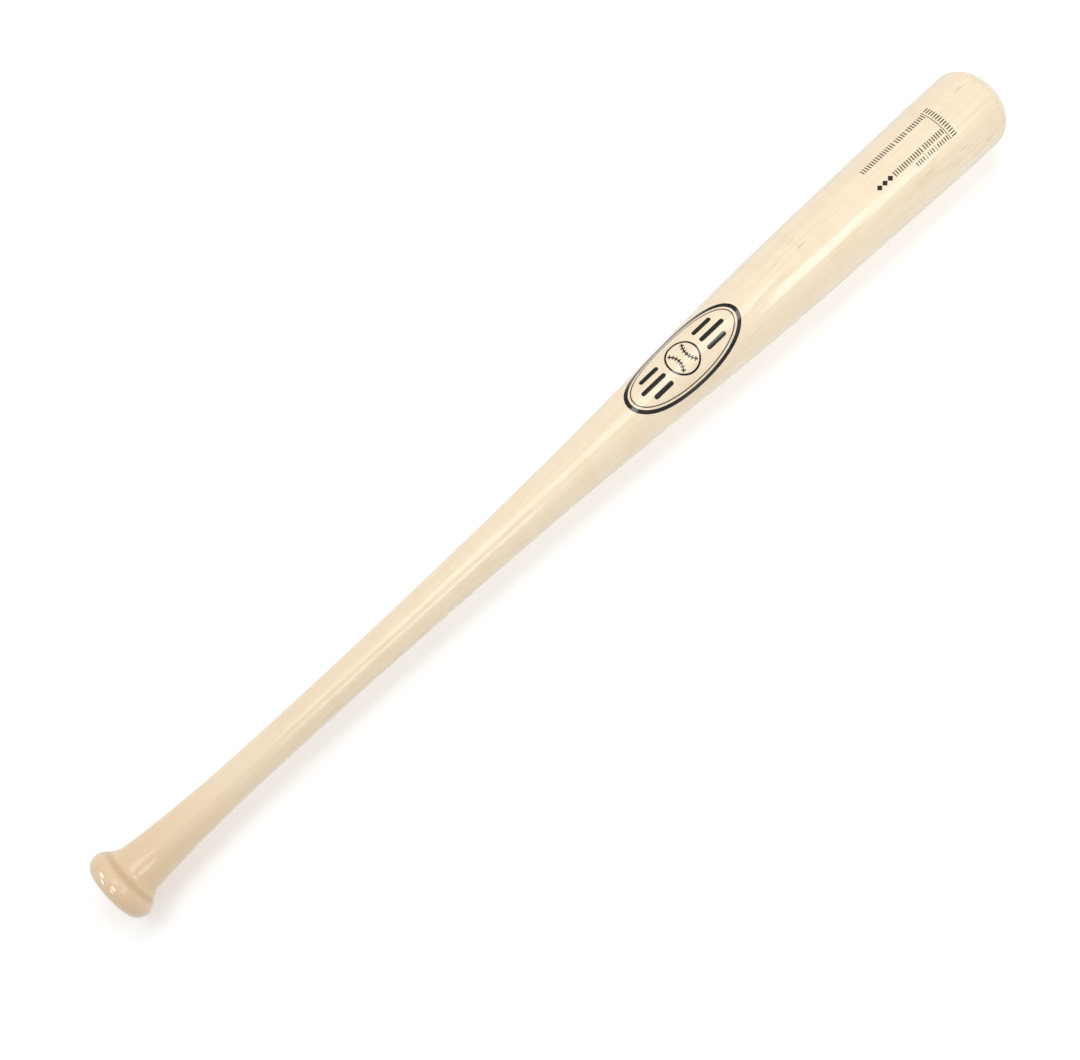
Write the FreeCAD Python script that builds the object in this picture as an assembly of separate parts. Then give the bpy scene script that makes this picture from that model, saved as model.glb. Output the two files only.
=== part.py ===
"""A turned one-piece wooden baseball bat with its centre label and its barrel print.

The bat lies along +X. The origin is the centre of the flat end face of the knob, and +Z is up through
the middle of the barrel print. Every mark is a thin film of its own that lies on the turned surface.
All sizes are in millimetres and all angles are in degrees.
"""
import FreeCAD
import Part
import os
from math import atan2, cos, degrees, pi, radians, sin, tan

Vector = FreeCAD.Vector

# ---- the turned body -------------------------------------------------------------------------
bat_length = 812.8              # 32 inch bat

knob_diameter = 50.2
knob_corner_radius = 8.7        # rounds the knob from its end face to its shoulder
shoulder_angle = 40.0           # slope of the shoulder behind the knob
shoulder_length = 4.4           # straight part of the shoulder, along the slope
neck_fillet_radius = 13.85      # hollow between the shoulder and the neck
neck_angle = 9.0                # slope of the neck where the hollow ends

handle_diameter = 24.8
grip_start = 118.0              # the handle is a true cylinder from here
grip_length = 42.0
neck_stations = [(21.5, 2.65), (55.2, 0.82)]    # past the hollow: distance, radius over the handle's

barrel_diameter = 63.2
barrel_straight = 13.5          # true cylinder between the taper and the crown
# The taper as shares of its own length and of its own rise in radius.
taper_shape = [
    (0.112, 0.036), (0.224, 0.107), (0.336, 0.216), (0.448, 0.378), (0.560, 0.582),
    (0.672, 0.774), (0.784, 0.878), (0.896, 0.951),
]

crown_radius = 15.7             # outer rounding of the barrel end
crown_turn = 60.0               # the crown hands over to the rim after this much turn
rim_radius = 5.0                # smaller rounding at the mouth of the cup
cup_depth = 19.0

# ---- the films on it -------------------------------------------------------------------------
film = 0.10                     # thickness of the label and of the print

label_from_end = 302.6          # centre of the label to the barrel end
label_turn = -3.0               # centre of the label from the middle of the print, round the bat
label_length = 102.0
label_height = 48.0             # measured round the barrel
oval_points = 48                # points that each oval of the label runs through
border_width = 3.0
pinstripe_gap = 1.7
pinstripe_width = 0.8

ball_diameter = 25.0
ball_line = 1.3                 # width of the ball's outline
seam_radius = 11.0              # curve of each seam
seam_offset = 14.6              # centre of that curve from the centre of the ball
seam_line = 1.0
seam_gap = 0.8                  # the seams stop this far inside the outline
stitch_count = 7                # on each seam
stitch_turn = 12.5              # from one stitch to the next, along the seam's own curve
stitch_length = 3.2
stitch_width = 0.8
bar_gap = 4.0                   # ball to bars
bar_lengths = [17.0, 22.0, 17.0]
bar_width = 3.2
bar_pitch = 7.4

rule_from_end = 54.4            # the rule round the barrel
rule_width = 0.5
rule_turn = 27.2                # the rule runs this far each side of the top
line_gap = 1.2                  # the lines of print stop this far before the rule
tick_width = 0.8
tick_pitch = 2.2
word_gap = 2.4
model_words = [15, 5, 8]        # ticks in each word
model_turn = -21.0              # where the line runs round the bat
model_height = 4.3
series_words = [13, 9]
series_turn = 11.5
series_height = 4.2
size_words = [4, 3, 5]
size_turn = 22.2
size_height = 3.4
divider_gap = 1.9
divider_height = 4.8
divider_width = 0.4
badge_marks = 3
badge_mark_length = 4.9
badge_mark_gap = 0.4
badge_height = 4.6
badge_gap = 1.6                 # badge to the series line
serial_gap = 1.5                # rule to the row beyond it
serial_marks = 14
serial_length = 4.2             # of each mark, along the bat
serial_turn = 25.5              # the row runs this far each side of the top

# ---- sizes that follow -----------------------------------------------------------------------
knob_radius = knob_diameter / 2
knob_flat_radius = knob_radius - knob_corner_radius
handle_radius = handle_diameter / 2
barrel_radius = barrel_diameter / 2
crown_reach = (crown_radius - rim_radius) * sin(radians(crown_turn)) + rim_radius
crown_start = bat_length - crown_reach
rim_crest_radius = barrel_radius - (crown_radius - rim_radius) * (1 - cos(radians(crown_turn))) - rim_radius
taper_start = grip_start + grip_length
taper_end = crown_start - barrel_straight
rule_place = bat_length - rule_from_end
line_end = rule_place - line_gap
label_place = bat_length - label_from_end


def point(along, radius):
    """A point of the turned outline: distance from the knob's end face, and radius."""
    return Vector(along, 0, radius)


def on_circle(centre, radius, angle):
    """A point of a circle in the outline's plane; the angle turns from +X towards +Z."""
    turn = radians(angle)
    return centre + Vector(cos(turn), 0, sin(turn)) * radius


def arc(centre, radius, start, end):
    """An arc in the outline's plane from one angle to the other, through the middle one."""
    middle = on_circle(centre, radius, (start + end) / 2)
    return Part.Arc(on_circle(centre, radius, start), middle, on_circle(centre, radius, end)).toShape()


def line(start, end):
    return Part.LineSegment(start, end).toShape()


def smooth(points, start_slope, end_slope):
    """A smooth curve through the points that leaves and arrives at these slopes."""
    curve = Part.BSplineCurve()
    curve.interpolate(
        Points=points,
        InitialTangent=Vector(1, 0, start_slope),
        FinalTangent=Vector(1, 0, end_slope),
        Scale=True,
    )
    return curve


def knob_edges():
    """The knob from the middle of its end face to the end of the hollow behind it."""
    corner = point(knob_corner_radius, knob_flat_radius)
    shoulder = on_circle(corner, knob_corner_radius, 90 - shoulder_angle)
    slope = radians(shoulder_angle)
    foot = shoulder + Vector(cos(slope), 0, -sin(slope)) * shoulder_length
    hollow = foot + Vector(sin(slope), 0, cos(slope)) * neck_fillet_radius
    edges = [
        line(point(0, 0), point(0, knob_flat_radius)),
        arc(corner, knob_corner_radius, 180, 90 - shoulder_angle),
        line(shoulder, foot),
        arc(hollow, neck_fillet_radius, 270 - shoulder_angle, 270 - neck_angle),
    ]
    return edges, on_circle(hollow, neck_fillet_radius, 270 - neck_angle)


def neck_curve(start):
    """The neck from the hollow behind the knob down to the cylindrical grip."""
    stations = [start]
    for along, over_handle in neck_stations:
        stations.append(point(start.x + along, handle_radius + over_handle))
    stations.append(point(grip_start, handle_radius))
    return smooth(stations, -tan(radians(neck_angle)), 0)


def taper_curve(over=0.0):
    """The long taper from the grip to the full barrel, raised by 'over' all along."""
    length = taper_end - taper_start
    rise = barrel_radius - handle_radius
    stations = [point(taper_start, handle_radius + over)]
    for share_along, share_up in taper_shape:
        stations.append(point(taper_start + share_along * length, handle_radius + share_up * rise + over))
    stations.append(point(taper_end, barrel_radius + over))
    return smooth(stations, 0, 0)


def barrel_end_edges():
    """The crown, the rim and the bowl of the cup, down to the middle of the cup's floor."""
    crown = point(crown_start, barrel_radius - crown_radius)
    rim = point(bat_length - rim_radius, rim_crest_radius)
    # The bowl is part of a ball on the axis that touches the rim's circle from outside.
    between_centres = (cup_depth ** 2 + rim_crest_radius ** 2) / (2 * cup_depth)
    bowl_radius = between_centres - rim_radius
    bowl = point(bat_length - cup_depth + bowl_radius, 0)
    meeting = degrees(atan2(rim.z - bowl.z, rim.x - bowl.x))
    return [
        line(point(taper_end, barrel_radius), point(crown_start, barrel_radius)),
        arc(crown, crown_radius, 90, 90 - crown_turn),
        arc(rim, rim_radius, 90 - crown_turn, meeting - 180),
        arc(bowl, bowl_radius, meeting, 180),
        line(point(bat_length - cup_depth, 0), point(0, 0)),
    ]


def turned_body():
    """The whole bat as it leaves the lathe: one piece of wood."""
    edges, hollow_end = knob_edges()
    edges.append(neck_curve(hollow_end).toShape())
    edges.append(line(point(grip_start, handle_radius), point(taper_start, handle_radius)))
    edges.append(taper_curve().toShape())
    edges.extend(barrel_end_edges())
    outline = Part.Face(Part.Wire(edges))
    return outline.revolve(Vector(0, 0, 0), Vector(1, 0, 0), 360)


# ---- films that lie on the taper -------------------------------------------------------------
inner_taper = taper_curve()
outer_taper = taper_curve(film)


def taper_parameter(curve, along):
    """The curve's parameter at a distance from the knob's end face."""
    low, high = curve.FirstParameter, curve.LastParameter
    for _ in range(50):
        middle = (low + high) / 2
        if curve.value(middle).x < along:
            low = middle
        else:
            high = middle
    return (low + high) / 2


def taper_radius(along):
    return inner_taper.value(taper_parameter(inner_taper, along)).z


def band(start, end, from_turn, to_turn):
    """A film between two places along the bat and two turns round it; turn 0 is the top."""
    edges = []
    corners = []
    for curve in (inner_taper, outer_taper):
        first, last = taper_parameter(curve, start), taper_parameter(curve, end)
        edges.append(curve.toShape(first, last))
        corners.append((curve.value(first), curve.value(last)))
    edges.append(line(corners[0][0], corners[1][0]))
    edges.append(line(corners[0][1], corners[1][1]))
    strip = Part.Face(Part.Wire(Part.__sortEdges__(edges)))
    strip.rotate(Vector(0, 0, 0), Vector(1, 0, 0), from_turn)
    return strip.revolve(Vector(0, 0, 0), Vector(1, 0, 0), to_turn - from_turn)


def turn_for(distance, along):
    """How far a distance measured round the bat turns there."""
    return degrees(distance / taper_radius(along))


def tick(start, width, middle_turn, height):
    """A small upright mark of a line of print."""
    half = turn_for(height, start) / 2
    return band(start, start + width, middle_turn - half, middle_turn + half)


def word_length(ticks):
    return (ticks - 1) * tick_pitch + tick_width


def words(tick_counts, gap, middle_turn, height):
    """Words of ticks that end beside the rule, and where the words start."""
    length = sum(word_length(count) for count in tick_counts) + gap * (len(tick_counts) - 1)
    start = line_end - length
    ticks, starts = [], []
    for count in tick_counts:
        starts.append(start)
        for index in range(count):
            ticks.append(tick(start + index * tick_pitch, tick_width, middle_turn, height))
        start += word_length(count) + gap
    return Part.Compound(ticks), starts


def size_dividers(word_starts):
    """The thin upright lines between the words of the size line."""
    lines = []
    for start in word_starts[1:]:
        lines.append(tick(start - divider_gap - divider_width, divider_width, size_turn, divider_height))
    return Part.Compound(lines)


def serial_row():
    """The row beyond the rule: marks that lie along the bat, side by side round it."""
    start = rule_place + rule_width + serial_gap
    half = turn_for(tick_width, start) / 2
    marks = []
    for index in range(serial_marks):
        middle = -serial_turn + index * 2 * serial_turn / (serial_marks - 1)
        marks.append(band(start, start + serial_length, middle - half, middle + half))
    return Part.Compound(marks)


# ---- films cut to a shape drawn from above ---------------------------------------------------
def plan_face(edges):
    return Part.Face(Part.Wire(Part.__sortEdges__(edges)))


def oval(semi_length, semi_height):
    """An oval for the label, as it looks from above once it is wrapped round the bat."""
    points = []
    for index in range(oval_points):
        turn = 2 * pi * index / oval_points
        along = label_place + semi_length * cos(turn)
        radius = taper_radius(along)
        points.append(Vector(along, -radius * sin(semi_height * sin(turn) / radius), 0))
    curve = Part.BSplineCurve()
    curve.interpolate(Points=points, PeriodicFlag=True)
    return plan_face([curve.toShape()])


def disc(centre, radius):
    return plan_face([Part.Circle(centre, Vector(0, 0, 1), radius).toShape()])


def rounded_bar(start, end, across, width):
    """A bar with round ends that runs along the bat."""
    half = width / 2
    low, high = across - half, across + half
    left, right = start + half, end - half
    return plan_face([
        line(Vector(left, low, 0), Vector(right, low, 0)),
        Part.Arc(Vector(right, low, 0), Vector(end, across, 0), Vector(right, high, 0)).toShape(),
        line(Vector(right, high, 0), Vector(left, high, 0)),
        Part.Arc(Vector(left, high, 0), Vector(start, across, 0), Vector(left, low, 0)).toShape(),
    ])


def stitch(centre, turn):
    """One stitch of a seam: a short bar square to the seam's curve."""
    middle = centre + Vector(seam_radius, 0, 0)
    low = middle - Vector(stitch_length / 2, stitch_width / 2, 0)
    shape = Part.makePlane(stitch_length, stitch_width, low)
    shape.rotate(centre, Vector(0, 0, 1), turn)
    return shape


def seam(side):
    """One seam of the ball with its stitches; side is +1 or -1."""
    ball_centre = Vector(label_place, 0, 0)
    centre = ball_centre + Vector(side * seam_offset, 0, 0)
    curve = disc(centre, seam_radius + seam_line / 2).cut(disc(centre, seam_radius - seam_line / 2))
    facing = 180 if side > 0 else 0
    stitches = []
    for index in range(stitch_count):
        turn = facing + (index - (stitch_count - 1) / 2) * stitch_turn
        stitches.append(stitch(centre, turn))
    clear = disc(ball_centre, ball_diameter / 2 - ball_line - seam_gap)
    return curve.fuse(stitches).removeSplitter().common(clear)


def laid_on(skin, faces, turn):
    """The parts of a skin that lie under shapes drawn from above, then turned round the bat."""
    patches = []
    for face in faces:
        column = face.extrude(Vector(0, 0, 2 * barrel_radius))
        if len(column.Solids) > 1:
            column = column.Solids[0].fuse(column.Solids[1:]).removeSplitter()
        patches.extend(skin.common(column).Solids)
    laid = Part.Compound(patches)
    laid.rotate(Vector(0, 0, 0), Vector(1, 0, 0), turn)
    return laid


def label_films():
    """The patches of the centre label: a bordered oval with a stitched ball between bars."""
    reach = label_length / 2 + 1
    skin = band(label_place - reach, label_place + reach, -89, 89)
    semi_length, semi_height = label_length / 2, label_height / 2

    border = oval(semi_length, semi_height).cut(oval(semi_length - border_width, semi_height - border_width))
    inset = border_width + pinstripe_gap
    line_inside = inset + pinstripe_width
    pinstripe = oval(semi_length - inset, semi_height - inset).cut(
        oval(semi_length - line_inside, semi_height - line_inside))

    centre = Vector(label_place, 0, 0)
    ball = disc(centre, ball_diameter / 2).cut(disc(centre, ball_diameter / 2 - ball_line))
    bars = []
    for index, length in enumerate(bar_lengths):
        across = (index - (len(bar_lengths) - 1) / 2) * bar_pitch
        near = ball_diameter / 2 + bar_gap
        bars.append(rounded_bar(label_place + near, label_place + near + length, across, bar_width))
        bars.append(rounded_bar(label_place - near - length, label_place - near, across, bar_width))

    return {
        "label_border": laid_on(skin, [border], label_turn),
        "label_pinstripe": laid_on(skin, [pinstripe], label_turn),
        "label_ball": laid_on(skin, [ball], label_turn),
        "label_seams": laid_on(skin, [seam(1), seam(-1)], label_turn),
        "label_bars": laid_on(skin, bars, label_turn),
    }


def series_badge(line_start):
    """A row of small diamonds in front of the series line."""
    pitch = badge_mark_length + badge_mark_gap
    length = badge_marks * pitch - badge_mark_gap
    start = line_start - badge_gap - length
    skin = band(start - 1, start + length + 1, -45, 45)
    diamonds = []
    for index in range(badge_marks):
        left = start + index * pitch
        middle = left + badge_mark_length / 2
        tips = [
            Vector(left, 0, 0), Vector(middle, -badge_height / 2, 0),
            Vector(left + badge_mark_length, 0, 0), Vector(middle, badge_height / 2, 0),
        ]
        diamonds.append(plan_face([line(tips[corner - 1], tips[corner]) for corner in range(4)]))
    return laid_on(skin, diamonds, series_turn)


def print_films():
    """The small print near the barrel end: rows of ticks beside a rule."""
    model_line, _ = words(model_words, word_gap, model_turn, model_height)
    series_line, series_starts = words(series_words, word_gap, series_turn, series_height)
    divider_room = 2 * divider_gap + divider_width
    size_line, size_starts = words(size_words, divider_room, size_turn, size_height)
    return {
        "model_line": model_line,
        "series_badge": series_badge(series_starts[0]),
        "series_line": series_line,
        "size_line": size_line,
        "size_dividers": size_dividers(size_starts),
        "rule_line": band(rule_place, rule_place + rule_width, -rule_turn, rule_turn),
        "serial_row": serial_row(),
    }


def build():
    """Every piece by its name."""
    pieces = {"turned_body": turned_body()}
    pieces.update(label_films())
    pieces.update(print_films())
    return pieces


os.makedirs("parts", exist_ok=True)
for name, shape in build().items():
    shape.exportStep(f"parts/{name}.step")
    print(f"{name}: {len(shape.Solids)} solids, {shape.Volume:.2f} mm3, valid {shape.isValid()}")
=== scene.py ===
"""A turned one-piece maple baseball bat with a clear gloss finish, a centre label and a barrel print.

The bat lies along +X on a pale studio floor. Lengths are in metres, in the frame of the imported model: the
origin is the middle of the knob's end face, and +Z is up through the middle of the barrel print.
"""
import logging
import math
from dataclasses import dataclass
from enum import Enum
from typing import Callable, Sequence

import bmesh
import bpy
import numpy as np
from mathutils import Matrix, Vector


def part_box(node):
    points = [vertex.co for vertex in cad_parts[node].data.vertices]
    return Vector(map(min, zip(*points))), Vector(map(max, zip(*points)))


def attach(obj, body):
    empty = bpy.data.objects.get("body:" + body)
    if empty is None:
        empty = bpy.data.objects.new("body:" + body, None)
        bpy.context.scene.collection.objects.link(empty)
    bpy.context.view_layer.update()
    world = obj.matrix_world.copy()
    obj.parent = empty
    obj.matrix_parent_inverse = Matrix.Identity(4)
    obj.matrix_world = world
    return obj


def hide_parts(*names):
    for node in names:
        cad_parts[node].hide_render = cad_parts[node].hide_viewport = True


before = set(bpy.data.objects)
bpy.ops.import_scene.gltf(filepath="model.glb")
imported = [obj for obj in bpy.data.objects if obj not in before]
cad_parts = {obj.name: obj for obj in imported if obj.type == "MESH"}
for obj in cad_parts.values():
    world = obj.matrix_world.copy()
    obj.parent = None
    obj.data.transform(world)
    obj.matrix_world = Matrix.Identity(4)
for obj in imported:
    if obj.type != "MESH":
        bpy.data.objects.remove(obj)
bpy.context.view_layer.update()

BODY = "root"
MM = 0.001
SHARP_TURN = math.radians(40)
LACQUER_IOR = 1.5
OVAL_STEPS = 288
BALL_STEPS = 128
SEAM_STEPS = 33
RULE_STEPS = 61
BLUNT_TIP = 0.02
LOG = logging.getLogger("baseball_bat")

Colour = tuple[float, float, float]


class Slot(Enum):
    """Names of the material slots, logged with each piece."""

    MAPLE = "lacquered_maple"
    LABEL = "label_film"
    INK = "print_ink"


class Lay(Enum):
    """How a flat drawing is laid on the bat."""

    WRAPPED = "wrapped round the bat like paper"
    FROM_ABOVE = "dropped straight down on it"


# ---- the turned outline ----------------------------------------------------------------------
class ClampedSpline:
    """A smooth curve through stations, with a given slope at each end."""

    def __init__(
        self, stations: Sequence[tuple[float, float]], start_slope: float, end_slope: float
    ) -> None:
        """Solves for the slope at every station.

        Args:
            stations: Distance and radius of each station, in order.
            start_slope: Slope at the first station.
            end_slope: Slope at the last station.
        """
        self.places = np.array([station[0] for station in stations])
        self.values = np.array([station[1] for station in stations])
        steps = np.diff(self.places)
        rises = np.diff(self.values) / steps
        count = len(stations)
        system = np.eye(count)
        right = np.zeros(count)
        right[0], right[-1] = start_slope, end_slope
        for row in range(1, count - 1):
            before, after = steps[row - 1], steps[row]
            system[row, row - 1:row + 2] = (1 / before, 2 / before + 2 / after, 1 / after)
            right[row] = 3 * (rises[row - 1] / before + rises[row] / after)
        self.slopes = np.linalg.solve(system, right)

    def __call__(self, place: float) -> float:
        """The curve's value at a place.

        Args:
            place: A distance between the first station and the last.

        Returns:
            The radius there.
        """
        index = int(np.clip(np.searchsorted(self.places, place) - 1, 0, len(self.places) - 2))
        step = self.places[index + 1] - self.places[index]
        share = (place - self.places[index]) / step
        start, end = self.values[index], self.values[index + 1]
        lean_in, lean_out = self.slopes[index] * step, self.slopes[index + 1] * step
        return float(
            start * (1 + 2 * share) * (1 - share) ** 2
            + lean_in * share * (1 - share) ** 2
            + end * share ** 2 * (3 - 2 * share)
            - lean_out * share ** 2 * (1 - share)
        )


@dataclass(frozen=True)
class BatOutline:
    """The outline that the lathe cuts: radius against distance from the knob's end face."""

    length: float
    barrel_radius: float
    knob_radius: float = 25.1 * MM
    knob_corner: float = 8.7 * MM
    shoulder_turn: float = math.radians(40)
    shoulder_length: float = 4.4 * MM
    hollow_radius: float = 13.85 * MM
    neck_turn: float = math.radians(9)
    neck_stations: tuple[tuple[float, float], ...] = ((21.5 * MM, 2.65 * MM), (55.2 * MM, 0.82 * MM))
    handle_radius: float = 12.4 * MM
    grip_start: float = 118 * MM
    grip_length: float = 42 * MM
    taper_shape: tuple[tuple[float, float], ...] = (
        (0.112, 0.036), (0.224, 0.107), (0.336, 0.216), (0.448, 0.378), (0.560, 0.582),
        (0.672, 0.774), (0.784, 0.878), (0.896, 0.951),
    )
    barrel_straight: float = 13.5 * MM
    crown_radius: float = 15.7 * MM
    crown_turn: float = math.radians(60)
    rim_radius: float = 5 * MM
    cup_depth: float = 19 * MM
    flat_steps: int = 8
    corner_steps: int = 40
    shoulder_steps: int = 5
    hollow_steps: int = 16
    neck_steps: int = 34
    grip_steps: int = 11
    taper_steps: int = 170
    straight_steps: int = 5
    crown_steps: int = 26
    rim_steps: int = 36
    bowl_steps: int = 30

    @property
    def taper_start(self) -> float:
        """Where the grip ends and the taper begins."""
        return self.grip_start + self.grip_length

    @property
    def crown_start(self) -> float:
        """Where the barrel begins to round over."""
        reach = (self.crown_radius - self.rim_radius) * math.sin(self.crown_turn)
        return self.length - reach - self.rim_radius

    @property
    def taper_end(self) -> float:
        """Where the barrel reaches its full diameter."""
        return self.crown_start - self.barrel_straight

    @property
    def rim_crest_radius(self) -> float:
        """Radius of the rim's highest ring, the one that the bat would stand on."""
        inward = (self.crown_radius - self.rim_radius) * (1 - math.cos(self.crown_turn))
        return self.barrel_radius - inward - self.rim_radius

    def taper(self) -> ClampedSpline:
        """The long taper from the grip to the full barrel.

        Returns:
            Its curve.
        """
        run = self.taper_end - self.taper_start
        rise = self.barrel_radius - self.handle_radius
        shares = ((0.0, 0.0), *self.taper_shape, (1.0, 1.0))
        stations = []
        for along, up in shares:
            stations.append((self.taper_start + along * run, self.handle_radius + up * rise))
        return ClampedSpline(stations, 0.0, 0.0)

    def knob_points(self) -> list[tuple[float, float]]:
        """The knob, from the middle of its end face to the end of the hollow behind it.

        Returns:
            The first points of the outline.
        """
        flat = self.knob_radius - self.knob_corner
        points = even_steps((0.0, 0.0), (0.0, flat), self.flat_steps)[:-1]
        corner = (self.knob_corner, flat)
        corner_ends = (math.pi, math.pi / 2 - self.shoulder_turn)
        points += arc_points(corner, self.knob_corner, *corner_ends, self.corner_steps)
        shoulder = points[-1]
        foot = (
            shoulder[0] + self.shoulder_length * math.cos(self.shoulder_turn),
            shoulder[1] - self.shoulder_length * math.sin(self.shoulder_turn),
        )
        points += even_steps(shoulder, foot, self.shoulder_steps)[1:]
        hollow = (
            foot[0] + self.hollow_radius * math.sin(self.shoulder_turn),
            foot[1] + self.hollow_radius * math.cos(self.shoulder_turn),
        )
        down = 3 * math.pi / 2
        hollow_ends = (down - self.shoulder_turn, down - self.neck_turn)
        points += arc_points(hollow, self.hollow_radius, *hollow_ends, self.hollow_steps)[1:]
        return points

    def shaft_points(self, start: tuple[float, float]) -> list[tuple[float, float]]:
        """The neck, the grip, the taper and the straight of the barrel.

        Args:
            start: The last point of the knob.

        Returns:
            The points after it, up to where the crown begins.
        """
        stations = [start]
        stations += [(start[0] + along, self.handle_radius + over) for along, over in self.neck_stations]
        stations.append((self.grip_start, self.handle_radius))
        neck = ClampedSpline(stations, -math.tan(self.neck_turn), 0.0)
        taper = self.taper()
        places = np.linspace(start[0], self.grip_start, self.neck_steps)[1:]
        points = [(place, neck(place)) for place in places]
        points += even_steps(points[-1], (self.taper_start, self.handle_radius), self.grip_steps)[1:]
        places = np.linspace(self.taper_start, self.taper_end, self.taper_steps)[1:]
        points += [(place, taper(place)) for place in places]
        full = (self.crown_start, self.barrel_radius)
        points += even_steps(points[-1], full, self.straight_steps)[1:]
        return points

    def barrel_end_points(self) -> list[tuple[float, float]]:
        """The crown, the rim and the bowl of the cup, down to the middle of its floor.

        Returns:
            The last points of the outline.
        """
        crown = (self.crown_start, self.barrel_radius - self.crown_radius)
        rim = (self.length - self.rim_radius, self.rim_crest_radius)
        between_centres = (self.cup_depth ** 2 + self.rim_crest_radius ** 2) / (2 * self.cup_depth)
        bowl_radius = between_centres - self.rim_radius
        bowl = (self.length - self.cup_depth + bowl_radius, 0.0)
        meeting = math.atan2(rim[1] - bowl[1], rim[0] - bowl[0])
        handover = math.pi / 2 - self.crown_turn
        points = arc_points(crown, self.crown_radius, math.pi / 2, handover, self.crown_steps)[1:]
        points += arc_points(rim, self.rim_radius, handover, meeting - math.pi, self.rim_steps)[1:]
        points += arc_points(bowl, bowl_radius, meeting, math.pi, self.bowl_steps)[1:]
        return points

    def points(self) -> list[tuple[float, float]]:
        """The whole outline, from the middle of the knob's face to the middle of the cup's floor.

        Returns:
            Distance and radius of each point.
        """
        points = self.knob_points()
        points += self.shaft_points(points[-1])
        points += self.barrel_end_points()
        return points


def arc_points(
    centre: tuple[float, float], radius: float, start: float, end: float, count: int
) -> list[tuple[float, float]]:
    """Points of an arc from one angle to the other."""
    turns = np.linspace(start, end, count)
    return [(centre[0] + radius * math.cos(turn), centre[1] + radius * math.sin(turn)) for turn in turns]


def even_steps(
    start: tuple[float, float], end: tuple[float, float], count: int
) -> list[tuple[float, float]]:
    """Evenly spaced points of a straight line, both ends included."""
    run, rise = end[0] - start[0], end[1] - start[1]
    return [(start[0] + run * share, start[1] + rise * share) for share in np.linspace(0, 1, count)]


# ---- shader node groups ----------------------------------------------------------------------
class GroupBuilder:
    """Builds one shader node group with named inputs and outputs."""

    def __init__(self, name: str, inputs: dict[str, float], outputs: dict[str, str]) -> None:
        """Starts the group with its sockets.

        Args:
            name: The group's name.
            inputs: Name and default of each number that the group takes.
            outputs: Name and socket type of each thing that it gives.
        """
        self.tree = bpy.data.node_groups.new(name, "ShaderNodeTree")
        for label, default in inputs.items():
            socket = self.tree.interface.new_socket(label, in_out="INPUT", socket_type="NodeSocketFloat")
            socket.default_value = default
        for label, kind in outputs.items():
            self.tree.interface.new_socket(label, in_out="OUTPUT", socket_type=kind)
        self.taken = self.tree.nodes.new("NodeGroupInput")
        self.given = self.tree.nodes.new("NodeGroupOutput")

    def give(self, label: str, value: bpy.types.NodeSocket) -> None:
        """Connects a value to one of the group's outputs."""
        self.tree.links.new(value, self.given.inputs[label])


Value = float | bpy.types.NodeSocket


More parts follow.
